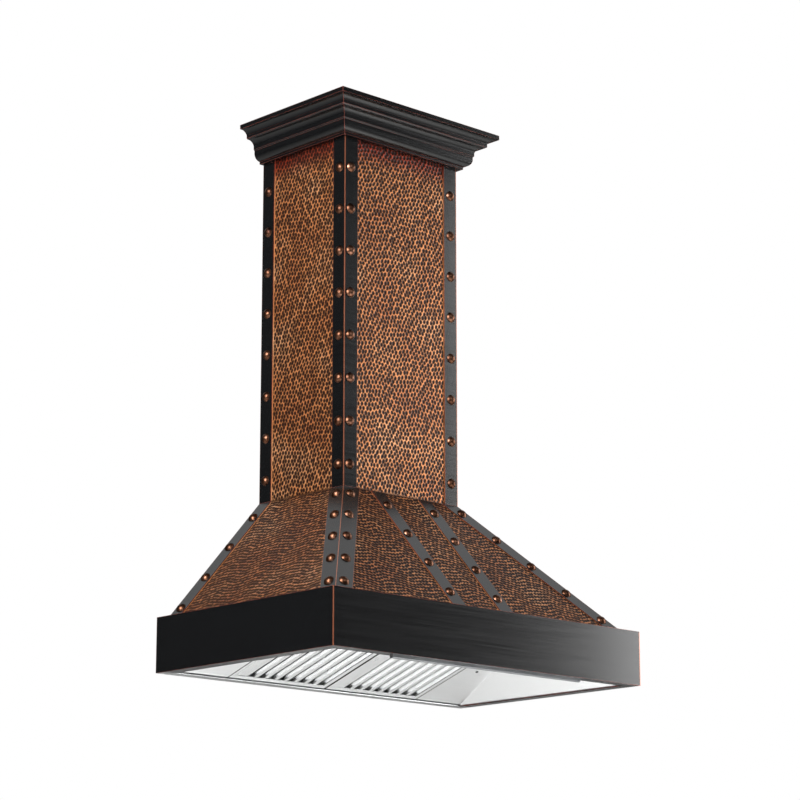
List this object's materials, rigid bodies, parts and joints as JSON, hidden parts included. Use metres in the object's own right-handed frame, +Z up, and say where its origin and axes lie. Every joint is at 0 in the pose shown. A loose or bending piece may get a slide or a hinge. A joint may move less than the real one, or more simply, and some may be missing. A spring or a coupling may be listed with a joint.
{
  "type": "wall mounted range hood",
  "caption": "Wall mounted range hood with hammered copper chimney and canopy, riveted black straps, stepped crown, baffle filters and blower.",
  "frame": {"origin": "on the wall plane, at the middle of the hood's width, level with the bottom of the skirt", "axes": "+X to the right for someone facing the hood, +Y into the wall, +Z up along the chimney"},
  "size_m": [0.914, 0.572, 1.2981],
  "materials": {
    "hammered_copper": "hammered and darkened copper",
    "copper_rivet": "darkened copper, polished by handling",
    "black_satin": "satin",
    "brushed_stainless": "brushed",
    "lamp_lens": "frosted",
    "button_steel": "turned",
    "black_plastic": "matte",
    "light_bar_aluminium": "anodised",
    "motor_paint": "gloss",
    "machined_steel": "turned",
    "galvanised": "zinc coated"
  },
  "bodies": {
    "hood": {"skirt_front": "black_satin", "skirt_left": "black_satin", "skirt_right": "black_satin", "roof_front_panel": "hammered_copper", "roof_left_panel": "hammered_copper", "roof_right_panel": "hammered_copper", "chimney_front_panel": "hammered_copper", "chimney_left_panel": "hammered_copper", "chimney_right_panel": "hammered_copper", "chimney_corner_strap_left": "black_satin", "chimney_corner_strap_right": "black_satin", "chimney_rear_strap_left": "black_satin", "chimney_rear_strap_right": "black_satin", "hip_strap_left": "black_satin", "hip_strap_right": "black_satin", "roof_rear_strap_left": "black_satin", "roof_rear_strap_right": "black_satin", "roof_middle_strap_left": "black_satin", "roof_middle_strap_right": "black_satin", "strap_rivets": "copper_rivet", "crown_front": "black_satin", "crown_left": "black_satin", "crown_right": "black_satin", "crown_ring": "black_satin", "back_panel": "galvanised", "top_plate": "galvanised", "chimney_ring": "galvanised", "chimney_bracket": "galvanised", "liner_deck": "brushed_stainless", "liner_left": "brushed_stainless", "liner_right": "brushed_stainless", "liner_front": "brushed_stainless", "filter_rail": "brushed_stainless", "light_bar": "light_bar_aluminium", "blower_wrap": "galvanised", "blower_inlet_side": "galvanised", "blower_motor_side": "galvanised", "motor": "motor_paint", "duct_collar": "galvanised", "lamp_housing_left": "brushed_stainless", "lamp_lens_left": "lamp_lens", "lamp_housing_right": "brushed_stainless", "lamp_lens_right": "lamp_lens", "switch_plate": "brushed_stainless", "switch_box": "black_plastic", "small_screws": "brushed_stainless"},
    "filter_left": {"filter_left_frame": "brushed_stainless", "filter_left_baffles": "brushed_stainless"},
    "filter_right": {"filter_right_frame": "brushed_stainless", "filter_right_baffles": "brushed_stainless"},
    "pull_left": {"filter_left_pull": "brushed_stainless"},
    "pull_right": {"filter_right_pull": "brushed_stainless"},
    "rotor": {"impeller": "galvanised", "motor_shaft": "machined_steel"},
    "flap_left": {"damper_flap_left": "galvanised"},
    "flap_right": {"damper_flap_right": "galvanised"},
    "button_light": {"button_light": "button_steel"},
    "button_power": {"button_power": "button_steel"},
    "button_slower": {"button_slower": "button_steel"},
    "button_faster": {"button_faster": "button_steel"}
  },
  "joints": [
    {"name": "filter_left_drop", "type": "hinge", "parent": "hood", "child": "filter_left", "pos_m": [-0.142, -0.03, 0.004], "axis": [1, 0, 0], "range_deg": [0, 75]},
    {"name": "pull_left_swing", "type": "hinge", "parent": "filter_left", "child": "pull_left", "pos_m": [-0.142, -0.3997, 0.12504], "axis": [1, 0, 0], "range_deg": [-30, 60]},
    {"name": "filter_right_drop", "type": "hinge", "parent": "hood", "child": "filter_right", "pos_m": [0.142, -0.03, 0.004], "axis": [1, 0, 0], "range_deg": [0, 75]},
    {"name": "pull_right_swing", "type": "hinge", "parent": "filter_right", "child": "pull_right", "pos_m": [0.142, -0.3997, 0.12504], "axis": [1, 0, 0], "range_deg": [-30, 60]},
    {"name": "impeller_spin", "type": "hinge", "parent": "hood", "child": "rotor", "pos_m": [0, -0.217, 0.262], "axis": [1, 0, 0], "continuous": true},
    {"name": "flap_left_swing", "type": "hinge", "parent": "hood", "child": "flap_left", "pos_m": [-0.0032, -0.142, 0.43], "axis": [0, 1, 0], "range_deg": [0, 75]},
    {"name": "flap_right_swing", "type": "hinge", "parent": "hood", "child": "flap_right", "pos_m": [0.0032, -0.142, 0.43], "axis": [0, -1, 0], "range_deg": [0, 75]},
    {"name": "button_light_press", "type": "slide", "parent": "hood", "child": "button_light", "axis": [0, -0.7154, 0.6988], "range_m": [0, 0.0025], "stiffness_N_per_m": 400, "springref_m": -0.001},
    {"name": "button_power_press", "type": "slide", "parent": "hood", "child": "button_power", "axis": [0, -0.7154, 0.6988], "range_m": [0, 0.0025], "stiffness_N_per_m": 400, "springref_m": -0.001},
    {"name": "button_slower_press", "type": "slide", "parent": "hood", "child": "button_slower", "axis": [0, -0.7154, 0.6988], "range_m": [0, 0.0025], "stiffness_N_per_m": 400, "springref_m": -0.001},
    {"name": "button_faster_press", "type": "slide", "parent": "hood", "child": "button_faster", "axis": [0, -0.7154, 0.6988], "range_m": [0, 0.0025], "stiffness_N_per_m": 400, "springref_m": -0.001}
  ]
}
